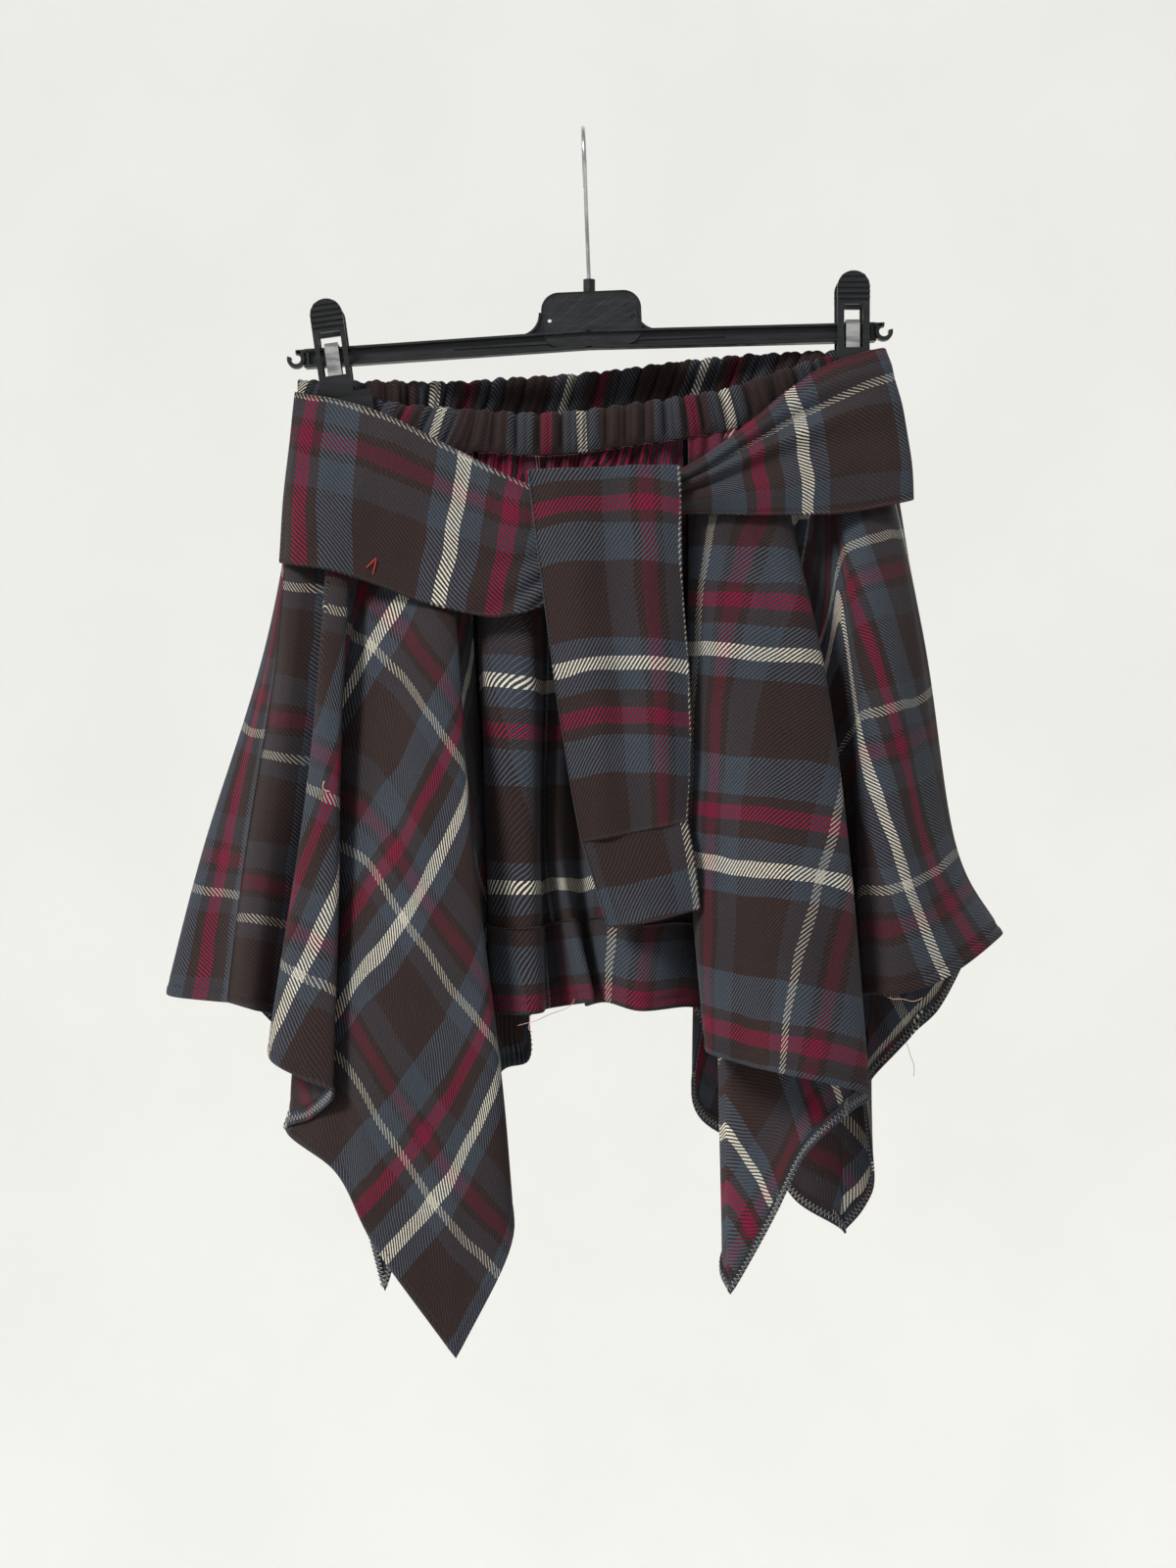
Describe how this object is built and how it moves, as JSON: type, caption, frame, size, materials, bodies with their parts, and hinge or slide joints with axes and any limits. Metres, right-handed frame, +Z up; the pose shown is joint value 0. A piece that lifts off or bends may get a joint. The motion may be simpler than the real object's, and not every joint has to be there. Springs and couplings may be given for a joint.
{
  "type": "skort on a clip hanger",
  "caption": "Plaid skort with a handkerchief hem, a gathered elastic waist and a sash tied in front, hung by its waistband from a clip hanger on a wire hook.",
  "frame": {"origin": "the point inside the top of the wire hook that rests on a rod", "axes": "+Z up, +X to the right of someone facing the front, the front faces -Y"},
  "size_m": [0.5144, 0.1816, 0.7407],
  "materials": {
    "steel": "bright zinc-plated wire and spring steel",
    "plastic": "black moulded plastic, satin",
    "plaid": "brushed twill in a dark brown, slate blue, crimson and off-white plaid",
    "knit": "plain black jersey"
  },
  "bodies": {
    "root": {"hook_wire": "steel", "hook_collar": "steel", "hanger_body": "plastic", "clip_left_front": "plastic", "clip_left_back": "plastic", "clip_left_spring": "steel", "clip_right_front": "plastic", "clip_right_back": "plastic", "clip_right_spring": "steel", "waistband_front": "plaid", "waistband_back": "plaid", "skirt_left": "plaid", "skirt_front": "plaid", "skirt_right": "plaid", "skirt_back": "plaid", "sash_left": "plaid", "sash_right": "plaid", "tail": "plaid", "tail_cuff": "plaid", "shorts_seat": "knit", "shorts_leg_left": "knit", "shorts_leg_right": "knit"}
  },
  "joints": []
}
